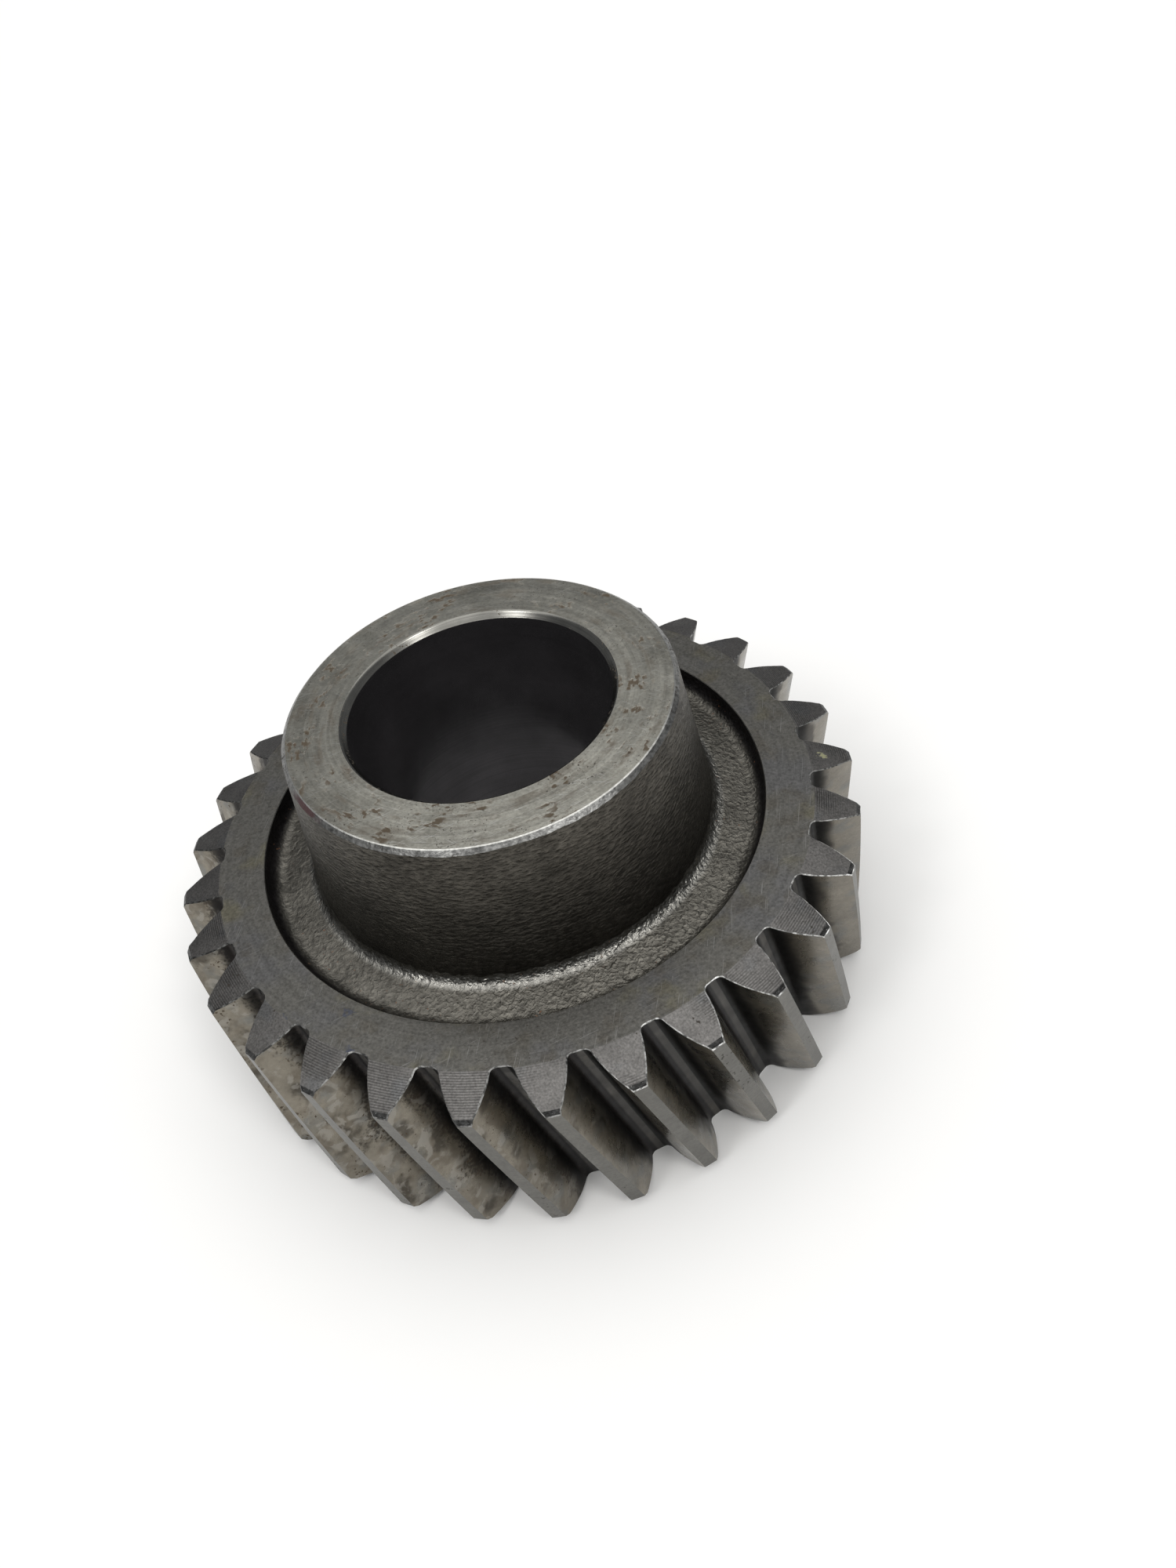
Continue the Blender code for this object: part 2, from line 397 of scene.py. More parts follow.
def turned_surface(surface, rings):
    """The turned surface, from the top ring of points over the boss and through the bore to the
    bottom ring. The helix has turned the bottom ring, and the bore takes up that turn."""
    all_points = np.concatenate(surface.points)
    ring_angles = {}
    for top, ring in rings.items():
        xyz = all_points[ring]
        ring_angles[top] = np.unwrap(np.arctan2(xyz[:, 1], xyz[:, 0]))
    start = ring_angles[True]
    shift = ring_angles[False] - start
    shift -= 2 * math.pi * np.round(shift.mean() / (2 * math.pi))
    previous = rings[True]
    past_bore = False
    for material, points in profile():
        rows = [previous]
        first = material == "rim_face"
        for r, z in points if first else points[1:]:
            if past_bore:
                share = 1.0
            elif r < BORE_RADIUS + 0.5:
                share = 1 - min(max(z / LENGTH, 0.0), 1.0)
            else:
                share = 0.0
            rows.append(surface.add(polar(r, start + shift * share, z)))
        surface.grid(np.array(rows), material, closed=True)
        previous = rows[-1]
        past_bore = past_bore or material == "bore"
    surface.grid(np.array([previous, rings[False]]), "rim_face", closed=True)


def gear_mesh():
    surface = Surface()
    outline = tooth_outline()
    radius = np.broadcast_to(outline[:, 0], (TEETH, len(outline)))
    angle = outline[:, 1] + PITCH * np.arange(TEETH)[:, None]
    drop = end_drop(radius)
    widths = {top: deburr_width(radius, angle, top) for top in (True, False)}
    sides = tooth_sides(surface, radius, angle, drop + widths[False], FACE_WIDTH - drop - widths[True])

    # The deburred strips, and the tooth ends inside them.
    rings = {}
    for top in (True, False):
        inner_radius = radius + (outline[:, 2] - outline[:, 0]) * widths[top]
        inner_angle = angle + (outline[:, 3] - outline[:, 1]) * widths[top]
        z = FACE_WIDTH - end_drop(inner_radius) if top else end_drop(inner_radius)
        spun = inner_angle + TWIST * (FACE_WIDTH - drop if top else drop)
        border = surface.add(polar(inner_radius, spun, z))
        strip = [sides[-1], border.reshape(-1)] if top else [border.reshape(-1), sides[0]]
        surface.grid(np.array(strip), "deburred", closed=True)
        rings[top] = tooth_ends(surface, border, np.stack([inner_radius, spun], -1), top)
    turned_surface(surface, rings)
    return surface


def roughen(surface):
    """Moves the forged surface's points in and out along its normal, like scaled and blasted
    forged skin, and lets the boss's chamfer meet it in a ragged line."""
    points = np.concatenate(surface.points)
    quads = np.concatenate(surface.quads)
    materials = np.concatenate(surface.materials)
    forged = quads[materials == MATERIALS.index("forged")]
    normals = np.zeros_like(points)
    a, b, c, d = (points[forged[:, i]] for i in range(4))
    face_normals = np.cross(c - a, d - b)
    for i in range(4):
        np.add.at(normals, forged[:, i], face_normals)
    chosen = np.unique(forged)
    normal = normals[chosen]
    normal /= np.linalg.norm(normal, axis=1)[:, None]
    at = points[chosen]
    radius = np.hypot(at[:, 0], at[:, 1])
    height = sum(tall * noise_at(at, size, seed) for tall, size, seed in SKIN_LAYERS)
    fade = np.clip((RECESS_RADIUS - EDGE / 2 - radius) / SKIN_FADE, 0, 1)
    back_edge = np.clip(np.hypot(radius - BACK_BOSS_RADIUS, at[:, 2]) / BACK_SKIN_FADE, 0, 1)
    height *= fade * back_edge
    # At the chamfer the skin's edge slides along the chamfer's cone.
    top = LENGTH - BOSS_CHAMFER
    on_edge = at[:, 2] > top - 1e-4
    slide = np.stack([at[:, 0] / radius, at[:, 1] / radius, -np.ones(len(at))], -1)
    moved = at + normal * height[:, None]
    moved[on_edge] = (at + slide * (height[:, None] * CHAMFER_SLIDE))[on_edge]
    points[chosen] = moved
    return points, quads, materials


def build_gear(materials):
    surface = gear_mesh()
    points, quads, slots = roughen(surface)
    groups = np.concatenate(surface.groups)
    mesh = bpy.data.meshes.new("gear_steel_body")
    mesh.from_pydata((points * 0.001).tolist(), [], quads.tolist())
    mesh.polygons.foreach_set("material_index", slots.astype(np.int32))
    mesh.shade_smooth()
    mark_sharp(mesh, quads, groups)
    for name in MATERIALS:
        mesh.materials.append(materials[name])
    mesh.validate()
    mesh.update()
    gear = bpy.data.objects.new("gear_steel_body", mesh)
    bpy.context.scene.collection.objects.link(gear)
    return gear


def mark_sharp(mesh, quads, groups):
    """Marks the edges between two smoothing groups as sharp."""
    count = len(mesh.vertices)
    ends = np.concatenate([np.stack([quads[:, i], quads[:, (i + 1) % 4]], 1) for i in range(4)])
    ends.sort(axis=1)
    keys = ends[:, 0] * count + ends[:, 1]
    owners = np.tile(groups, 4)
    order = np.argsort(keys, kind="stable")
    keys, owners = keys[order], owners[order]
    first = np.searchsorted(keys, keys, side="left")
    sharp_keys = np.unique(keys[owners != owners[first]])
    edges = np.empty(len(mesh.edges) * 2, np.int32)
    mesh.edges.foreach_get("vertices", edges)
    edges = np.sort(edges.reshape(-1, 2).astype(np.int64), axis=1)
    sharp = np.isin(edges[:, 0] * count + edges[:, 1], sharp_keys)
    attribute = mesh.attributes.new("sharp_edge", "BOOLEAN", "EDGE")
    attribute.data.foreach_set("value", sharp)


# ---------------------------------------------------------------- materials


class Shading:
    """One metal, painted in layers. Positions, sizes and heights are millimetres."""

    def __init__(self, name, colour, rough):
        self.material = bpy.data.materials.new(name)
        self.material.use_nodes = True
        self.tree = self.material.node_tree
        self.colour = (*colour, 1.0)
        self.rough = rough
        self.metal = 1.0
        self.height = 0.0
        coords = self.tree.nodes.new("ShaderNodeTexCoord").outputs["Object"]
        scale = self.tree.nodes.new("ShaderNodeVectorMath")
        scale.operation = "SCALE"
        self.tree.links.new(coords, scale.inputs[0])
        scale.inputs["Scale"].default_value = 1000.0
        self.place = scale.outputs[0]
        split = self.tree.nodes.new("ShaderNodeSeparateXYZ")
        self.tree.links.new(self.place, split.inputs[0])
        self.x, self.y, self.z = split.outputs
        squares = self.calc("ADD", self.calc("POWER", self.x, 2.0), self.calc("POWER", self.y, 2.0))
        self.radius = self.calc("SQRT", squares)

    def put(self, socket, value):
        if isinstance(value, bpy.types.NodeSocket):
            self.tree.links.new(value, socket)
        else:
            socket.default_value = value

    def calc(self, operation, *values):
        node = self.tree.nodes.new("ShaderNodeMath")
        node.operation = operation
        for socket, value in zip(node.inputs, values):
            self.put(socket, value)
        return node.outputs[0]

    def span(self, value, low, high, to_low=0.0, to_high=1.0):
        """Runs from to_low to to_high while the value runs from low to high, and no further."""
        node = self.tree.nodes.new("ShaderNodeMapRange")
        node.interpolation_type = "SMOOTHSTEP"
        for socket, number in zip(node.inputs, (value, low, high, to_low, to_high)):
            self.put(socket, number)
        return node.outputs["Result"]

    def times(self, *masks):
        product = masks[0]
        for mask in masks[1:]:
            product = self.calc("MULTIPLY", product, mask)
        return product

    def at(self, x, y, z):
        node = self.tree.nodes.new("ShaderNodeCombineXYZ")
        for socket, value in zip(node.inputs, (x, y, z)):
            self.put(socket, value)
        return node.outputs[0]

    def noise(self, size, seed, detail=2.0, warp=0.0, at=None):
        """Noise from about 0.25 to 0.75, with features of this size."""
        node = self.tree.nodes.new("ShaderNodeTexNoise")
        node.noise_dimensions = "4D"
        self.put(node.inputs["Vector"], self.place if at is None else at)
        node.inputs["W"].default_value = seed
        node.inputs["Scale"].default_value = 1.0 / size
        node.inputs["Detail"].default_value = detail
        node.inputs["Distortion"].default_value = warp
        return node.outputs[0]

    def drawn(self, across, pitch, length, seed, detail=1.0):
        """Noise drawn out round the axis into marks this long, a pitch apart in radius or z."""
        thin = pitch / length
        at = self.at(across, self.calc("MULTIPLY", self.x, thin), self.calc("MULTIPLY", self.y, thin))
        return self.noise(pitch, seed, detail, at=at)

    def scratches(self, degrees, width, length, seed, rare):
        """Thin straight scratches in plan at this angle. A higher rare leaves fewer."""
        c, s = math.cos(math.radians(degrees)), math.sin(math.radians(degrees))
        along = self.calc("ADD", self.calc("MULTIPLY", self.x, c), self.calc("MULTIPLY", self.y, s))
        across = self.calc("SUBTRACT", self.calc("MULTIPLY", self.y, c), self.calc("MULTIPLY", self.x, s))
        at = self.at(self.calc("MULTIPLY", along, width / length), across, self.calc("MULTIPLY", self.z, 0.3))
        return self.span(self.noise(width, seed, 0.0, at=at), rare, rare + 0.05)

    def sector(self, degrees, width):
        """1 near this angle about the axis, falling to 0 at width degrees from it."""
        c, s = math.cos(math.radians(degrees)), math.sin(math.radians(degrees))
        dot = self.calc("ADD", self.calc("MULTIPLY", self.x, c), self.calc("MULTIPLY", self.y, s))
        return self.span(self.calc("DIVIDE", dot, self.radius), math.cos(math.radians(width)), 1.0)

    def from_space(self):
        """Millimetres from the middle of the tooth space, positive on its anticlockwise side."""
        round_axis = self.calc("ARCTAN2", self.y, self.x)
        turned = self.calc("SUBTRACT", round_axis, self.calc("MULTIPLY", self.z, TWIST))
        wrapped = self.calc("WRAP", turned, PITCH, 0.0)
        return self.calc("MULTIPLY", self.calc("SUBTRACT", wrapped, PITCH / 2), self.radius)

    def near(self, degrees, radius, size, seed=0.0):
        """1 inside a ragged spot of this size round a polar place in plan, falling to 0 outside."""
        x, y = radius * math.cos(math.radians(degrees)), radius * math.sin(math.radians(degrees))
        dx, dy = self.calc("SUBTRACT", self.x, x), self.calc("SUBTRACT", self.y, y)
        away = self.calc("SQRT", self.calc("ADD", self.times(dx, dx), self.times(dy, dy)))
        wander = self.span(self.noise(size, seed, 4.0), 0.25, 0.75, -0.7 * size, 0.7 * size)
        return self.span(self.calc("ADD", away, wander), size, 0.5 * size)

    def tone(self, mask, dark, light):
        """Multiplies the colour by dark where the mask is 0, up to light where it is 1."""
        node = self.tree.nodes.new("ShaderNodeVectorMath")
        node.operation = "SCALE"
        self.put(node.inputs[0], self.colour if not isinstance(self.colour, tuple) else self.colour[:3])
        self.put(node.inputs["Scale"], self.span(mask, 0.0, 1.0, dark, light))
        self.colour = node.outputs[0]

    def stain(self, mask, colour, rough=None, metal=None):
        """Paints a colour over the metal where the mask is 1."""
        node = self.tree.nodes.new("ShaderNodeMix")
        node.data_type = "RGBA"
        self.put(node.inputs[0], mask)
        self.put(node.inputs[6], self.colour)  # the Mix node's two colours are 6 and 7,
        self.put(node.inputs[7], (*colour, 1.0))  # and its two plain numbers 2 and 3
        self.colour = node.outputs[2]
        if rough is not None:
            self.rough = self.blend(mask, self.rough, rough)
        if metal is not None:
            self.metal = self.blend(mask, self.metal, metal)

    def blend(self, mask, before, after):
        node = self.tree.nodes.new("ShaderNodeMix")
        self.put(node.inputs[0], mask)
        self.put(node.inputs[2], before)
        self.put(node.inputs[3], after)
        return node.outputs[0]

    def gloss(self, mask, low, high):
        """Adds low to high to the roughness."""
        self.rough = self.calc("ADD", self.rough, self.span(mask, 0.0, 1.0, low, high))

    def relief(self, mask, depth):
        self.height = self.calc("ADD", self.height, self.calc("MULTIPLY", mask, depth))

    def done(self):
        shader = self.tree.nodes["Principled BSDF"]
        self.put(shader.inputs["Base Color"], self.colour)
        self.put(shader.inputs["Roughness"], self.rough)
        self.put(shader.inputs["Metallic"], self.metal)
        bump = self.tree.nodes.new("ShaderNodeBump")
        bump.inputs["Distance"].default_value = 0.001
        self.put(bump.inputs["Height"], self.height)
        self.tree.links.new(bump.outputs[0], shader.inputs["Normal"])
        return self.material


RUST = (0.076, 0.055, 0.034)
ORANGE_RUST = (0.17, 0.08, 0.038)
SOOT = (0.030, 0.024, 0.018)
# The boss's end is rustiest beside the bore's mouth, and in two spots further out. Each place is
# degrees about the axis and a radius.
RUSTY_PLACES = ((125, 33), (200, 33), (220, 38), (245, 32), (260, 32), (290, 33), (315, 39), (330, 34))
RUSTY_SIZE = 3.2
# Faint blue marker on the rim: one smear near the recess and three near the teeth's roots.
BLUE_SMEARS = ((226, 62), (216, 71), (228, 71), (231, 70))
BLUE_SIZE = 1.4


def specks(shading, size, seed, patch, common, patchy=0.52):
    """Small specks, gathered in patches of this size."""
    grain = shading.span(shading.noise(size, seed, 2.0), common, common + 0.04)
    where = shading.span(shading.noise(patch, seed + 7.0, 1.0), patchy, patchy + 0.08)
    return shading.times(grain, where)


def forged():
    """Blasted forging skin: nearly black on the boss, greyer and shinier in the recesses, with a painted
    highlight on the fillet at the boss's foot and painted shade just inside the rim's edge.
    """
    s = Shading("forged", (0.054, 0.050, 0.043), 0.42)
    ragged = s.calc("ADD", s.z, s.span(s.noise(2.5, 9.0, 3.0), 0.3, 0.7, -0.5, 0.5))
    recess = s.span(ragged, FACE_WIDTH - 0.5, FACE_WIDTH - 1.3)
    fillet = s.times(recess, s.span(s.radius, BOSS_BASE_RADIUS + 3.0, BOSS_BASE_RADIUS + 1.6))
    s.tone(s.span(s.z, 56.0, LENGTH), 1.0, 1.5)
    s.stain(recess, (0.130, 0.124, 0.110), 0.47)
    # Painted highlight: the fillet at the boss's foot is painted a lighter grey, besides being made glossier.
    s.stain(fillet, (0.215, 0.210, 0.195), 0.32)
    # Painted shade in the recess: a dark ring just inside the rim's edge.
    s.stain(s.span(s.radius, RECESS_RADIUS - 2.6, RECESS_RADIUS - 0.9), (0.03, 0.028, 0.029), 0.6)
    s.tone(s.noise(9.0, 1.0, 3.0), 0.6, 1.4)
    drawn = s.drawn(s.calc("SUBTRACT", s.radius, s.z), 0.7, 1.5, 2.0, 2.0)
    grain = s.blend(recess, drawn, s.noise(1.0, 2.0, 2.0, 0.6))
    s.tone(grain, s.span(recess, 0.0, 1.0, 0.3, 0.45), s.span(recess, 0.0, 1.0, 1.7, 1.55))
    s.gloss(s.noise(1.4, 3.0, 2.0), -0.12, 0.12)
    s.stain(s.times(specks(s, 0.8, 4.0, 10.0, 0.67), recess, 0.8), ORANGE_RUST, 0.8, 0.2)
    s.relief(grain, s.blend(recess, 0.34, s.span(s.x, -45.0, 5.0, 0.20, 0.44)))
    s.relief(s.noise(1.1, 5.0, 2.0), 0.12)
    s.relief(s.noise(0.45, 6.0, 1.0), 0.05)
    return s.done()


def rim_face():
    """The rim's turned faces, with faint scratches, brown stains and smears of blue marker."""
    s = Shading("rim_face", (0.120, 0.117, 0.109), 0.44)
    s.stain(s.span(s.noise(11.0, 1.0, 4.0), 0.50, 0.66), (0.116, 0.115, 0.115))
    s.stain(s.span(s.noise(9.0, 2.0, 4.0), 0.54, 0.70), (0.135, 0.128, 0.100))
    s.stain(s.times(s.span(s.noise(5.0, 9.0, 6.0), 0.52, 0.66), 0.4), (0.090, 0.080, 0.064), 0.5)
    s.tone(s.noise(0.55, 3.0, 3.0), 0.55, 1.45)
    s.tone(s.drawn(s.radius, 0.6, 40.0, 4.0), 0.85, 1.15)
    for degrees, seed in ((12.0, 11.0), (68.0, 12.0)):
        s.stain(s.times(s.scratches(degrees, 0.18, 7.0, seed, 0.735), 0.5), (0.25, 0.25, 0.245), 0.35)
    for degrees, radius in BLUE_SMEARS:
        s.stain(s.times(s.near(degrees, radius, BLUE_SIZE, 21.0), 0.5), (0.050, 0.066, 0.118), 0.5)
    s.stain(s.times(specks(s, 0.8, 5.0, 14.0, 0.66, 0.56), 0.7), SOOT, 0.7, 0.6)
    s.gloss(s.noise(2.0, 6.0, 2.0), -0.06, 0.06)
    s.relief(s.noise(0.5, 7.0, 2.0), 0.035)
    s.relief(s.drawn(s.radius, 0.3, 60.0, 8.0), 0.012)
    return s.done()


def tooth_end():
    """The sloping tooth ends, with concentric cutter lines and a paint dab on one of them."""
    s = Shading("tooth_end", (0.120, 0.116, 0.113), 0.44)
    wander = s.calc("MULTIPLY", s.noise(7.0, 1.0, 1.0), 3.0)
    turns = s.calc("ADD", s.calc("MULTIPLY", s.radius, 2 * math.pi / 0.5), wander)
    line = s.span(s.calc("SINE", turns), -1.0, 1.0)
    strong = s.span(s.noise(16.0, 2.0, 1.0), 0.42, 0.60, 0.0, 0.8)
    line = s.times(line, strong)
    s.stain(s.span(s.noise(8.0, 7.0, 3.0), 0.52, 0.66), (0.116, 0.116, 0.117))
    s.tone(s.noise(5.0, 3.0, 3.0), 0.70, 1.30)
    s.tone(s.noise(0.45, 4.0, 2.0), 0.5, 1.5)
    s.tone(s.span(s.x, -55.0, -20.0), 0.84, 1.0)
    s.tone(line, 1.12, 0.62)
    s.stain(s.times(specks(s, 0.8, 5.0, 9.0, 0.64), 0.8), SOOT, 0.7, 0.6)
    dab = s.times(s.near(-9.1, 73.1, 1.1, 3.0), s.span(s.near(-8.9, 72.5, 0.8, 3.0), 1.0, 0.0))
    s.stain(dab, (0.24, 0.235, 0.14), 0.6, 0.2)
    s.relief(s.noise(0.5, 6.0, 2.0), 0.05)
    s.relief(line, 0.03)
    return s.done()


def tip_chamfer():
    """The chamfer across each tooth's tip, dark with bright nicks."""
    s = Shading("tip_chamfer", (0.065, 0.065, 0.064), 0.42)
    s.tone(s.noise(0.7, 1.0, 2.0), 0.0, 2.2)
    s.stain(s.span(s.noise(0.5, 2.0, 2.0), 0.62, 0.70), (0.30, 0.30, 0.295), 0.35)
    s.relief(s.noise(0.6, 3.0, 2.0), 0.06)
    return s.done()


def deburred():
    """Bright metal where a wheel took off the burrs, broken by dark nicks, with painted light and shade that
    depend on where each strip lies.
    """
    s = Shading("deburred", (0.40, 0.40, 0.39), 0.50)
    # Painted light and shade: brighter to the right, and darker to the left and towards the back.
    s.tone(s.span(s.x, -35.0, 40.0), 0.5, 1.7)
    s.tone(s.span(s.y, -10.0, -60.0), 0.35, 1.0)
    s.tone(s.span(s.noise(0.8, 1.0, 3.0), 0.3, 0.7), 0.35, 1.65)
    s.tone(s.noise(9.0, 2.0, 2.0), 0.5, 1.5)
    s.relief(s.noise(0.4, 3.0, 1.0), 0.05)
    return s.done()


def flank():
    """Ground and run-in flanks, with ragged soot from old oil up the side, denser towards the root, and
    painted shade on the root land and along the feet of the flanks.
    """
    s = Shading("flank", (0.20, 0.182, 0.150), 0.27)
    s.stain(s.span(s.noise(6.0, 1.0, 4.0), 0.48, 0.66), (0.165, 0.162, 0.148))
    s.tone(s.noise(7.0, 2.0, 3.0), 0.72, 1.28)
    s.tone(s.noise(1.0, 3.0, 3.0), 0.85, 1.15)
    left = s.span(s.calc("ADD", s.x, s.calc("MULTIPLY", s.y, 0.35)), -5.0, -50.0)
    low = s.span(s.radius, TIP_RADIUS - 2.5, ROOT_RADIUS + 2.5, -0.16, 0.16)
    cloud = s.calc("ADD", s.noise(8.0, 4.0, 3.0), low)
    grain = s.times(s.span(s.noise(0.7, 5.0, 3.0), 0.25, 0.75, -0.14, 0.14), left)
    cloud = s.calc("ADD", cloud, grain)
    s.stain(s.times(s.span(cloud, 0.50, 0.70), 0.8), SOOT, 0.42, 0.7)
    brown = s.span(s.noise(3.5, 9.0, 9.0), 0.48, 0.66)
    s.stain(s.times(brown, left, 0.4), (0.090, 0.070, 0.050), 0.40, 0.9)
    streak = s.span(s.noise(6.0, 11.0, 10.0), 0.54, 0.66)
    s.stain(s.times(streak, left, 0.65), SOOT, 0.45, 0.8)
    scuff = s.span(s.noise(4.0, 12.0, 8.0, 0.8), 0.53, 0.60)
    s.stain(s.times(scuff, left, 0.55), (0.30, 0.285, 0.255), 0.33)
    s.stain(s.times(specks(s, 0.8, 6.0, 9.0, 0.62, 0.48), left, 0.9), RUST, 0.7, 0.4)
    across = s.from_space()
    # Painted shade: the root land between the teeth is painted darker.
    s.stain(s.times(s.span(s.radius, 69.9, 69.6), 0.7), (0.062, 0.062, 0.062), 0.5)
    # Painted shade: near-black bands at the feet of both flanks in each tooth space narrow the lit strip
    # along the root.
    foot = s.span(s.radius, 74.5, 71.5)
    s.stain(s.times(foot, s.span(across, 0.8, 1.1), 0.93), (0.006, 0.006, 0.006), 0.5, 0.8)
    s.stain(s.times(foot, s.span(across, -0.3, -0.9), 0.85), (0.008, 0.007, 0.008), 0.45, 0.8)
    s.gloss(s.noise(3.0, 7.0, 3.0), -0.10, 0.12)
    s.relief(s.noise(0.35, 8.0, 1.0), 0.008)
    return s.done()


def tip_land():
    """The tops of the teeth, turned before the teeth were cut."""
    s = Shading("tip_land", (0.140, 0.137, 0.126), 0.38)
    s.tone(s.noise(6.0, 1.0, 3.0), 0.8, 1.2)
    s.tone(s.noise(0.6, 2.0, 2.0), 0.8, 1.2)
    s.tone(s.drawn(s.z, 0.25, 12.0, 3.0), 0.85, 1.15)
    s.stain(s.times(specks(s, 0.9, 4.0, 12.0, 0.63), 0.7), SOOT, 0.7, 0.6)
    s.relief(s.drawn(s.z, 0.25, 20.0, 5.0), 0.010)
    return s.done()


def boss_face():
    """Turned end of the boss, with rust in spots and smears."""
    s = Shading("boss_face", (0.35, 0.342, 0.305), 0.31)
    s.stain(s.span(s.noise(12.0, 12.0, 4.0), 0.46, 0.66), (0.285, 0.278, 0.245))
    s.tone(s.noise(16.0, 1.0, 3.0), 0.80, 1.20)
    s.tone(s.drawn(s.radius, 0.9, 45.0, 2.0, 2.0), 0.72, 1.28)
    s.tone(s.drawn(s.radius, 0.24, 30.0, 3.0), 0.85, 1.15)
    s.tone(s.noise(0.6, 4.0, 3.0), 0.65, 1.35)
    for degrees, seed in ((12.0, 31.0), (-50.0, 33.0), (-20.0, 34.0)):
        s.stain(s.times(s.scratches(degrees, 0.13, 4.0, seed, 0.72), 0.6), (0.55, 0.55, 0.53), 0.3)
    s.tone(s.span(s.x, -42.0, -18.0), 0.82, 1.0)
    haze = s.span(s.drawn(s.radius, 2.4, 9.0, 5.0, 4.0), 0.52, 0.68)
    s.stain(s.times(haze, 0.5), RUST, 0.5, 0.7)
    where = s.span(s.noise(9.0, 7.0, 2.0), 0.53, 0.63)
    for degrees, radius in RUSTY_PLACES:
        where = s.calc("MAXIMUM", where, s.near(degrees, radius, RUSTY_SIZE, 5.0))
    spot = s.span(s.drawn(s.radius, 1.3, 2.2, 6.0, 5.0), 0.51, 0.60)
    s.stain(s.times(spot, where, 0.95), RUST, 0.75, 0.3)
    s.stain(s.times(specks(s, 0.45, 8.0, 8.0, 0.63, 0.44), 0.85), SOOT, 0.8, 0.3)
    s.gloss(s.noise(4.0, 9.0, 3.0), -0.07, 0.09)
    s.relief(s.drawn(s.radius, 0.25, 60.0, 10.0), 0.012)
    s.relief(s.times(spot, where), -0.03)
    s.relief(s.noise(0.4, 11.0, 2.0), 0.012)
    return s.done()


def boss_chamfer():
    """The hand-dressed edge of the boss, with a dark red stain on its left."""
    s = Shading("boss_chamfer", (0.20, 0.20, 0.195), 0.40)
    s.tone(s.noise(0.9, 1.0, 3.0), 0.0, 2.0)
    s.tone(s.noise(9.0, 2.0, 2.0), 0.6, 1.4)
    s.tone(s.drawn(s.z, 0.2, 4.0, 3.0), 0.8, 1.2)
    s.stain(s.times(specks(s, 0.7, 4.0, 7.0, 0.58), 0.8), SOOT, 0.7, 0.5)
    red = s.times(s.sector(204.0, 10.0), s.span(s.noise(2.5, 5.0, 2.0), 0.30, 0.5))
    s.stain(s.times(red, 0.9), (0.040, 0.006, 0.008), 0.5, 0.2)
    s.relief(s.noise(0.5, 6.0, 2.0), 0.06)
    return s.done()


def bore_mouth():
    """The chamfers at both ends of the bore."""
    s = Shading("bore_mouth", (0.20, 0.197, 0.183), 0.24)
    s.tone(s.drawn(s.z, 0.25, 20.0, 1.0), 0.7, 1.3)
    s.tone(s.noise(6.0, 2.0, 3.0), 0.6, 1.4)
    s.stain(s.times(specks(s, 0.7, 3.0, 7.0, 0.60), 0.8), RUST, 0.7, 0.5)
    s.relief(s.drawn(s.z, 0.25, 40.0, 4.0), 0.01)
    return s.done()


def bore():
    """Ground bore under a film of old oil."""
    s = Shading("bore", (0.122, 0.118, 0.124), 0.18)
    s.metal = 0.78
    s.tone(s.noise(14.0, 1.0, 3.0), 0.65, 1.35)
    s.tone(s.drawn(s.z, 0.3, 30.0, 2.0), 0.85, 1.15)
    s.gloss(s.noise(5.0, 4.0, 2.0), -0.04, 0.06)
    s.relief(s.drawn(s.z, 0.3, 40.0, 5.0), 0.004)
    return s.done()


def worn_edge():
    """Bare metal on the narrow bevels between the turned faces."""
    s = Shading("worn_edge", (0.48, 0.48, 0.46), 0.36)
    s.tone(s.noise(0.9, 1.0, 3.0), 0.5, 1.5)
    s.relief(s.noise(0.5, 2.0, 2.0), 0.02)
    return s.done()


def all_materials():
    makers = (
        forged, rim_face, tooth_end, tip_chamfer, deburred, flank,
        tip_land, boss_face, boss_chamfer, bore_mouth, bore, worn_edge,
    )
    return {maker.__name__: maker() for maker in makers}


# ---------------------------------------------------------------- floor, light and camera


FLOOR_REACH = 40.0
WORLD_STRENGTH = 0.22
# Name, elevation, compass angle, spread (all in degrees), strength and colour. The two lamps make
# the two highlights at the bore's mouth.
LAMPS = (
    ("ceiling", 88.0, -110.0, 90.0, 2.2, (1.0, 0.99, 0.965)),
    ("lamp_right", 52.0, -53.0, 14.0, 0.55, (1.0, 0.99, 0.97)),
    ("lamp_left", 47.0, -147.0, 14.0, 0.45, (1.0, 0.99, 0.98)),
)
CAMERA_PLACE = (0.00529, -0.19941, 0.24658)  # metres
CAMERA_TURN = (44.383, 9.471, -13.448)  # degrees
FOCAL_LENGTH = 27.52  # for a sensor 36 mm wide
SENSOR_WIDTH = 36.0


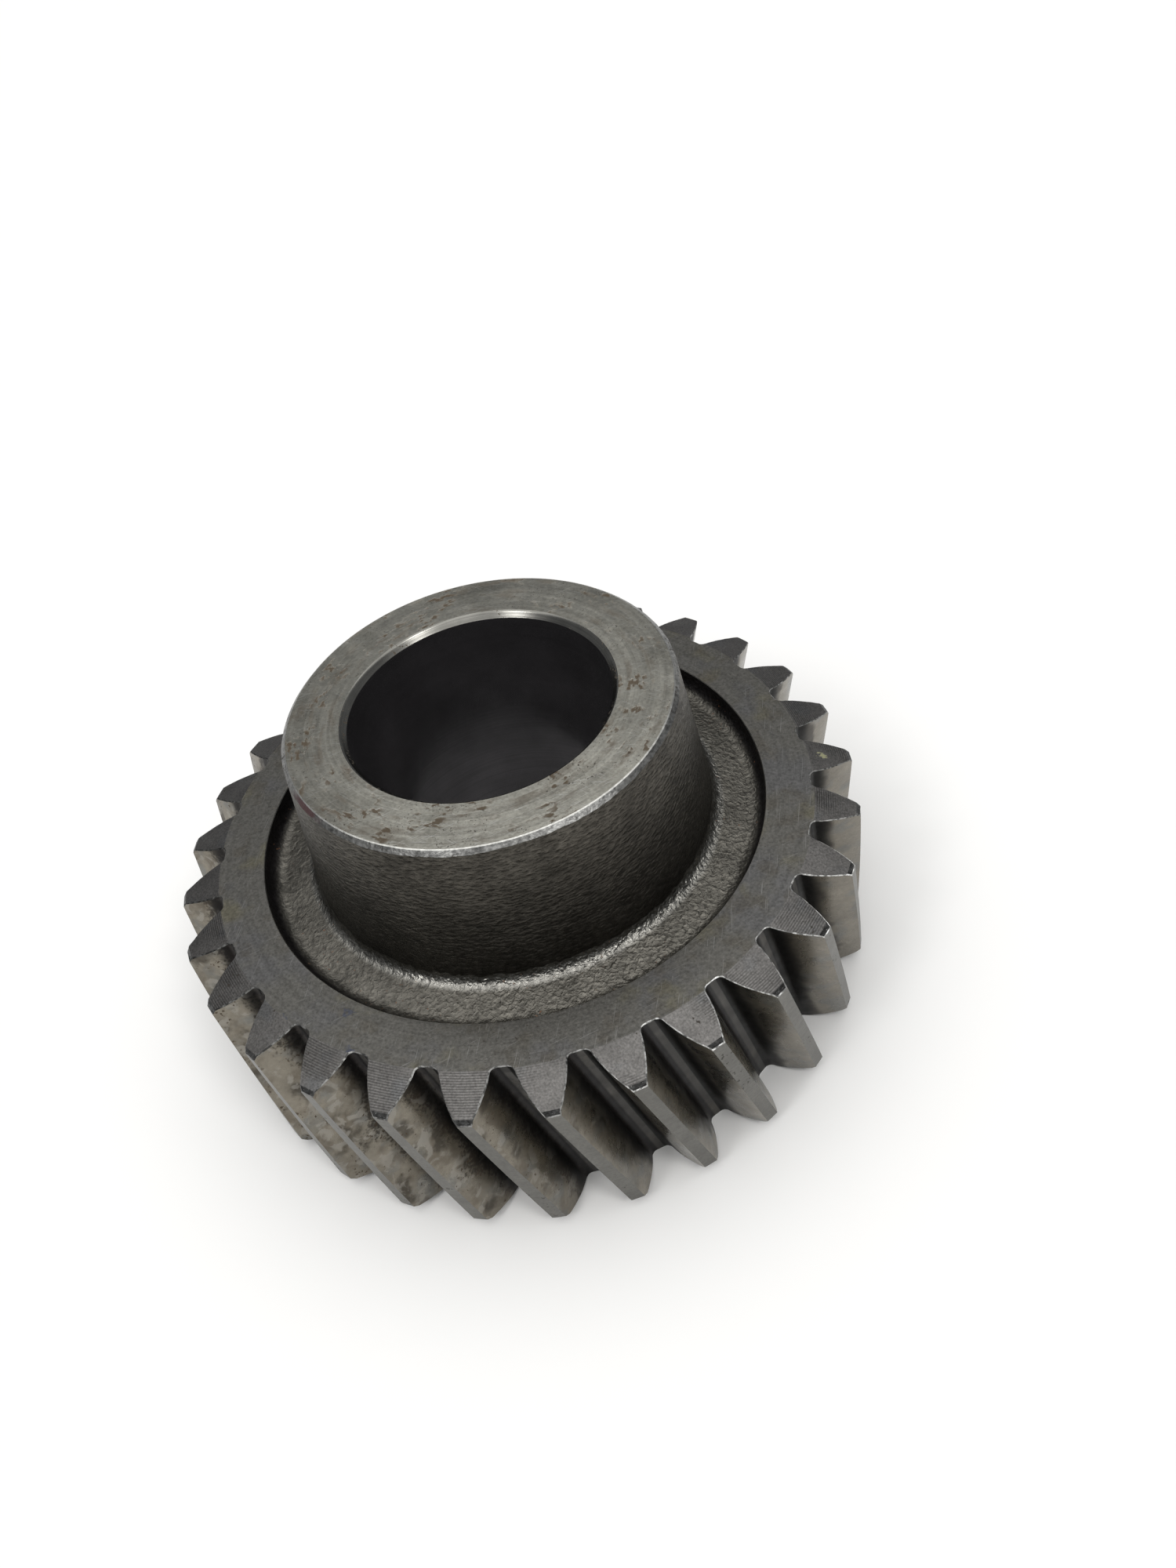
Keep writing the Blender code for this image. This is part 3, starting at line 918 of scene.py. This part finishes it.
def make_floor():
    mesh = bpy.data.meshes.new("floor")
    size = FLOOR_REACH
    corners = [(-size, -size, 0), (size, -size, 0), (size, size, 0), (-size, size, 0)]
    mesh.from_pydata(corners, [], [(0, 1, 2, 3)])
    floor = bpy.data.objects.new("floor", mesh)
    bpy.context.scene.collection.objects.link(floor)
    material = bpy.data.materials.new("pale_floor")
    material.use_nodes = True
    shader = material.node_tree.nodes["Principled BSDF"]
    shader.inputs["Base Color"].default_value = (0.9, 0.9, 0.9, 1)
    shader.inputs["Roughness"].default_value = 0.9
    shader.inputs["Specular IOR Level"].default_value = 0.1
    mesh.materials.append(material)
    return floor


def soft_sun(name, elevation, azimuth, spread, strength, colour):
    """A round soft light far away, at this elevation and compass angle in degrees."""
    light = bpy.data.lights.new(name, "SUN")
    light.angle = math.radians(spread)
    light.energy = strength
    light.color = colour
    obj = bpy.data.objects.new(name, light)
    up, round_z = math.radians(elevation), math.radians(azimuth)
    place = Vector((math.cos(up) * math.cos(round_z), math.cos(up) * math.sin(round_z), math.sin(up)))
    obj.location = place
    obj.rotation_euler = (-place).to_track_quat("-Z", "Y").to_euler()
    bpy.context.scene.collection.objects.link(obj)


def make_lights():
    world = bpy.data.worlds.new("studio")
    world.use_nodes = True
    background = world.node_tree.nodes["Background"]
    background.inputs["Color"].default_value = (0.96, 0.98, 1.0, 1)
    background.inputs["Strength"].default_value = WORLD_STRENGTH
    bpy.context.scene.world = world
    for name, elevation, azimuth, spread, strength, colour in LAMPS:
        soft_sun(name, elevation, azimuth, spread, strength, colour)
    bpy.context.scene.view_settings.view_transform = "Standard"


def make_camera():
    """The camera stands about 0.32 m away, in front of the gear and 45 degrees above it."""
    camera = bpy.data.cameras.new("camera")
    camera.sensor_width = SENSOR_WIDTH
    camera.lens = FOCAL_LENGTH
    camera.clip_start = 0.01
    obj = bpy.data.objects.new("camera", camera)
    obj.location = CAMERA_PLACE
    obj.rotation_euler = [math.radians(turn) for turn in CAMERA_TURN]
    bpy.context.scene.collection.objects.link(obj)
    bpy.context.scene.camera = obj
    return obj


make_camera()
gear = build_gear(all_materials())
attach(gear, "root")
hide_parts("helical_gear")
make_floor()
make_lights()
